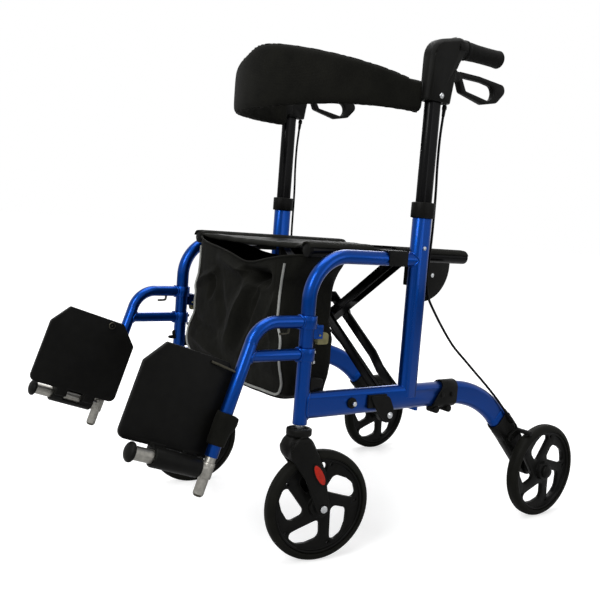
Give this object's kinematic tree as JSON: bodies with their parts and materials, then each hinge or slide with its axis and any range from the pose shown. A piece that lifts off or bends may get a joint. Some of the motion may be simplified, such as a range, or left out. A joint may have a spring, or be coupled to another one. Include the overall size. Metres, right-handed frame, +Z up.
{
  "type": "rollator transport chair",
  "caption": "Folding wheeled walking frame with seat, bag, looped brakes, backrest band and swing-away footrests that turns it into a transport chair.",
  "frame": {"origin": "on the floor, under the middle of the whole chair", "axes": "+Z up, -Y the front with the footrests, +X the sitter's left"},
  "size_m": [0.59, 1.0645, 0.9585],
  "materials": {
    "blue_paint": "gloss blue over aluminium tube",
    "black_paint": "gloss black over aluminium tube",
    "black_plastic": "moulded, satin",
    "soft_grip": "soft matte",
    "cable_sheath": "smooth",
    "bright_steel": "bright zinc",
    "tyre": "matte",
    "red_reflector": "gloss",
    "ivory_plastic": "satin",
    "black_cloth": "woven"
  },
  "bodies": {
    "left_frame": {"left_side_frame": "blue_paint", "left_rear_leg": "blue_paint", "left_leg_clamp": "black_plastic", "left_upright_collar": "black_plastic", "left_frame_clips": "black_plastic", "left_frame_bolts": "bright_steel", "left_cable_guard": "black_plastic", "left_rear_bracket": "black_plastic", "left_brake_cable": "cable_sheath", "under_seat_bag": "black_cloth"},
    "right_frame": {"right_side_frame": "blue_paint", "right_rear_leg": "blue_paint", "right_leg_clamp": "black_plastic", "right_upright_collar": "black_plastic", "right_frame_clips": "black_plastic", "right_frame_bolts": "bright_steel", "right_cable_guard": "black_plastic", "right_rear_bracket": "black_plastic", "right_brake_cable": "cable_sheath"},
    "cross_arm_a": {"cross_arm_a": "black_paint", "brace_pivot": "bright_steel", "right_seat_rail": "black_paint"},
    "cross_arm_b": {"cross_arm_b": "black_paint", "left_seat_rail": "black_paint", "seat_sling": "black_cloth"},
    "left_handle": {"left_handle_tube": "black_paint", "left_handle_housing": "black_plastic", "left_hand_grip": "soft_grip", "backrest": "black_cloth"},
    "left_lever": {"left_brake_lever": "black_plastic"},
    "left_shoe": {"left_brake_arm": "black_plastic"},
    "left_caster": {"left_caster_fork": "black_plastic", "left_caster_bolts": "bright_steel", "left_fork_reflector": "red_reflector"},
    "left_roller": {"left_front_wheel": "black_plastic", "left_front_tyre": "tyre"},
    "left_driver": {"left_rear_wheel": "black_plastic", "left_rear_tyre": "tyre"},
    "left_hanger": {"left_footrest_hanger": "blue_paint", "left_calf_strap": "black_cloth"},
    "left_latch": {"left_hanger_latch": "ivory_plastic"},
    "left_extension": {"left_leg_extension": "bright_steel"},
    "left_foot": {"left_footplate": "black_plastic"},
    "right_handle": {"right_handle_tube": "black_paint", "right_handle_housing": "black_plastic", "right_hand_grip": "soft_grip"},
    "right_lever": {"right_brake_lever": "black_plastic"},
    "right_shoe": {"right_brake_arm": "black_plastic"},
    "right_caster": {"right_caster_fork": "black_plastic", "right_caster_bolts": "bright_steel", "right_fork_reflector": "red_reflector"},
    "right_roller": {"right_front_wheel": "black_plastic", "right_front_tyre": "tyre"},
    "right_driver": {"right_rear_wheel": "black_plastic", "right_rear_tyre": "tyre"},
    "right_hanger": {"right_footrest_hanger": "blue_paint", "right_calf_strap": "black_cloth"},
    "right_latch": {"right_hanger_latch": "ivory_plastic"},
    "right_extension": {"right_leg_extension": "bright_steel"},
    "right_foot": {"right_footplate": "black_plastic"}
  },
  "joints": [
    {"name": "fold", "type": "hinge", "parent": "left_frame", "child": "cross_arm_a", "pos_m": [0.205, 0.0453, 0.262], "axis": [0, 1, 0], "range_deg": [0, 39.4], "deforming": ["seat_sling", "under_seat_bag", "backrest"]},
    {"name": "brace_scissor", "type": "hinge", "parent": "cross_arm_a", "child": "cross_arm_b", "pos_m": [0, 0.0453, 0.40876], "axis": [0, 1, 0], "range_deg": [-78.8, 0]},
    {"name": "right_frame_pivot", "type": "hinge", "parent": "cross_arm_b", "child": "right_frame", "pos_m": [-0.205, 0.0453, 0.262], "axis": [0, 1, 0], "range_deg": [0, 39.4]},
    {"name": "left_handle_slide", "type": "slide", "parent": "left_frame", "child": "left_handle", "axis": [0, 0, 1], "range_m": [-0.08, 0.04], "deforming": ["left_brake_cable"]},
    {"name": "left_lever_squeeze", "type": "hinge", "parent": "left_handle", "child": "left_lever", "pos_m": [0.23, 0.0973, 0.887], "axis": [1, 0, 0], "range_deg": [0, 12], "stiffness_Nm_per_rad": 1.5, "springref_deg": -5.73},
    {"name": "left_shoe_press", "type": "hinge", "parent": "left_frame", "child": "left_shoe", "pos_m": [0.254, 0.35198, 0.17431], "axis": [-1, 0, 0], "range_deg": [0, 2.7]},
    {"name": "left_caster_swivel", "type": "hinge", "parent": "left_frame", "child": "left_caster", "pos_m": [0.23, -0.1997, 0.248], "axis": [0, 0, 1], "continuous": true},
    {"name": "left_front_roll", "type": "hinge", "parent": "left_caster", "child": "left_roller", "pos_m": [0.23808, -0.15391, 0.1], "axis": [0.9848, -0.1736, 0], "continuous": true},
    {"name": "left_rear_roll", "type": "hinge", "parent": "left_frame", "child": "left_driver", "pos_m": [0.272, 0.43226, 0.1], "axis": [1, 0, 0], "continuous": true},
    {"name": "left_hanger_swing", "type": "hinge", "parent": "left_frame", "child": "left_hanger", "pos_m": [0.23, -0.1997, 0.427], "axis": [0, 0, 1], "range_deg": [0, 90]},
    {"name": "left_latch_lift", "type": "hinge", "parent": "left_hanger", "child": "left_latch", "pos_m": [0.23, -0.177, 0.404], "axis": [1, 0, 0], "range_deg": [0, 25], "stiffness_Nm_per_rad": 0.05, "springref_deg": -11.46},
    {"name": "left_leg_length", "type": "slide", "parent": "left_hanger", "child": "left_extension", "axis": [0, 0.3173, 0.9483], "range_m": [-0.06, 0.006]},
    {"name": "left_foot_flip", "type": "hinge", "parent": "left_extension", "child": "left_foot", "pos_m": [0.23, -0.3797, 0.189], "axis": [0, 0.9483, -0.3173], "range_deg": [-90, 0]},
    {"name": "right_handle_slide", "type": "slide", "parent": "right_frame", "child": "right_handle", "axis": [0, 0, 1], "range_m": [-0.08, 0.04], "deforming": ["right_brake_cable"]},
    {"name": "right_lever_squeeze", "type": "hinge", "parent": "right_handle", "child": "right_lever", "pos_m": [-0.23, 0.0973, 0.887], "axis": [1, 0, 0], "range_deg": [0, 12], "stiffness_Nm_per_rad": 1.5, "springref_deg": -5.73},
    {"name": "right_shoe_press", "type": "hinge", "parent": "right_frame", "child": "right_shoe", "pos_m": [-0.254, 0.35198, 0.17431], "axis": [-1, 0, 0], "range_deg": [0, 2.7]},
    {"name": "right_caster_swivel", "type": "hinge", "parent": "right_frame", "child": "right_caster", "pos_m": [-0.23, -0.1997, 0.248], "axis": [0, 0, 1], "continuous": true},
    {"name": "right_front_roll", "type": "hinge", "parent": "right_caster", "child": "right_roller", "pos_m": [-0.22193, -0.15391, 0.1], "axis": [0.9848, -0.1736, 0], "continuous": true},
    {"name": "right_rear_roll", "type": "hinge", "parent": "right_frame", "child": "right_driver", "pos_m": [-0.272, 0.43226, 0.1], "axis": [1, 0, 0], "continuous": true},
    {"name": "right_hanger_swing", "type": "hinge", "parent": "right_frame", "child": "right_hanger", "pos_m": [-0.23, -0.1997, 0.427], "axis": [0, 0, -1], "range_deg": [0, 90]},
    {"name": "right_latch_lift", "type": "hinge", "parent": "right_hanger", "child": "right_latch", "pos_m": [-0.23, -0.177, 0.404], "axis": [1, 0, 0], "range_deg": [0, 25], "stiffness_Nm_per_rad": 0.05, "springref_deg": -11.46},
    {"name": "right_leg_length", "type": "slide", "parent": "right_hanger", "child": "right_extension", "axis": [0, 0.3173, 0.9483], "range_m": [-0.06, 0.006]},
    {"name": "right_foot_flip", "type": "hinge", "parent": "right_extension", "child": "right_foot", "pos_m": [-0.23, -0.3797, 0.189], "axis": [0, -0.9483, 0.3173], "range_deg": [-90, 0]}
  ],
  "couplings": [
    {"joint": "brace_scissor", "follows": "fold", "ratio": -2},
    {"joint": "right_frame_pivot", "follows": "fold", "ratio": 1},
    {"joint": "left_shoe_press", "follows": "left_lever_squeeze", "ratio": 0.225},
    {"joint": "right_shoe_press", "follows": "right_lever_squeeze", "ratio": 0.225},
    {"joint": "right_handle_slide", "follows": "left_handle_slide", "ratio": 1}
  ]
}
